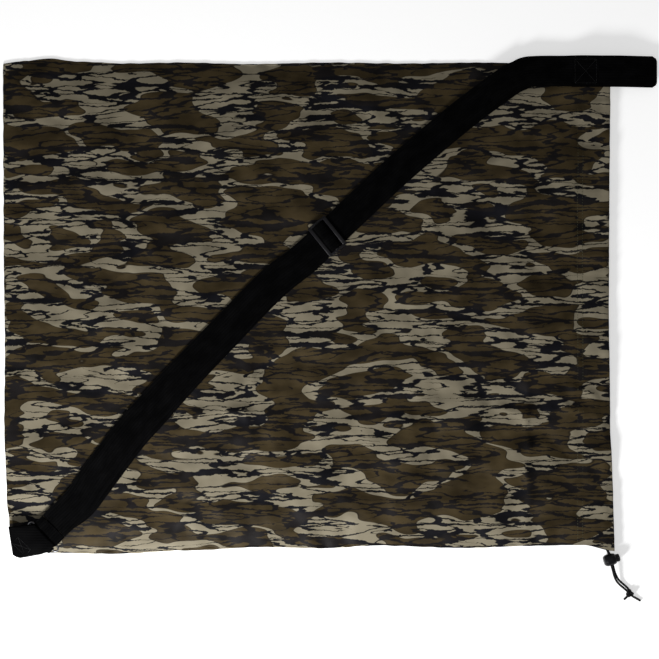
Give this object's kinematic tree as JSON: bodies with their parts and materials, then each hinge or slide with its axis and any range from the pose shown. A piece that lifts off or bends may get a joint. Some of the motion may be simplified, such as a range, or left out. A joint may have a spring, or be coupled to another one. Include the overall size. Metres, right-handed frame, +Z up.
{
  "type": "drawstring carry sack",
  "caption": "Large flat drawstring sack of camouflage cloth with a webbing shoulder strap, tri-glide slider, corner ring, drawcord and spring cord lock.",
  "frame": {"origin": "middle of the object's footprint, on the surface that it lies on, measured without the free drawcord tails", "axes": "+X along the sack from its bottom seam to its mouth, +Y across the sack towards the strap's sewn corner at the mouth, +Z up from the ground"},
  "size_m": [1.05, 0.8756, 0.0236],
  "materials": {
    "camo_cloth": "matte printed weave",
    "webbing": "ribbed woven",
    "thread": "twisted thread",
    "black_thread": "twisted thread",
    "drawcord": "braided",
    "slider_plastic": "moulded",
    "lock_plastic": "moulded, slightly worn",
    "button_plastic": "moulded",
    "ring_steel": "nickel plated",
    "spring_steel": "drawn wire"
  },
  "bodies": {
    "sack_back": {"back_panel": "camo_cloth", "bottom_seam": "camo_cloth", "upper_side_seam": "camo_cloth", "lower_side_seam": "camo_cloth", "back_mouth_hem": "camo_cloth", "back_hem_fold": "camo_cloth", "back_hem_sewn_edge": "camo_cloth", "back_hem_stitches": "thread", "drawcord_back_run": "drawcord", "drawcord_tail_long": "drawcord", "drawcord_tail_short": "drawcord", "drawcord_knot": "drawcord"},
    "sack_front": {"front_panel": "camo_cloth", "front_mouth_hem": "camo_cloth", "front_hem_fold": "camo_cloth", "front_hem_sewn_edge": "camo_cloth", "front_hem_stitches": "thread", "drawcord_front_run": "drawcord", "strap_sewn_layer": "webbing", "strap_box_stitches": "black_thread", "strap_main_run": "webbing", "strap_return_run": "webbing", "strap_end_bar_tack": "black_thread", "corner_patch": "webbing", "corner_patch_stitches": "black_thread", "corner_tab": "webbing"},
    "strap_end": {"strap_end_loop": "webbing"},
    "strap_slider": {"slider": "slider_plastic", "strap_over_slider_bar": "webbing"},
    "ring": {"corner_ring": "ring_steel", "strap_ring_wrap": "webbing"},
    "cord_lock": {"cord_lock_body": "lock_plastic", "cord_lock_spring": "spring_steel"},
    "lock_button": {"cord_lock_plunger": "button_plastic"}
  },
  "joints": [
    {"name": "mouth_open", "type": "hinge", "parent": "sack_back", "child": "sack_front", "pos_m": [-0.517, 0.003, 0.0141], "axis": [0, -1, 0], "range_deg": [0, 6]},
    {"name": "strap_end_swing", "type": "hinge", "parent": "sack_front", "child": "strap_end", "pos_m": [0.4485, 0.377, 0.0166], "axis": [0, -1, 0], "range_deg": [0, 60]},
    {"name": "slider_adjust", "type": "slide", "parent": "sack_front", "child": "strap_slider", "axis": [0.7314, 0.682, 0], "range_m": [-0.05, 0.1]},
    {"name": "ring_swivel", "type": "hinge", "parent": "sack_front", "child": "ring", "pos_m": [-0.46043, -0.37034, 0.0182], "axis": [0.7193, -0.6947, 0], "range_deg": [0, 20]},
    {"name": "cord_lock_slide", "type": "slide", "parent": "sack_back", "child": "cord_lock", "axis": [0.2588, -0.9659, 0], "range_m": [0, 0.012]},
    {"name": "plunger_press", "type": "slide", "parent": "cord_lock", "child": "lock_button", "axis": [-0.9659, -0.2588, 0], "range_m": [0, 0.0025], "stiffness_N_per_m": 600, "springref_m": -0.003, "deforming": ["cord_lock_spring"]}
  ]
}
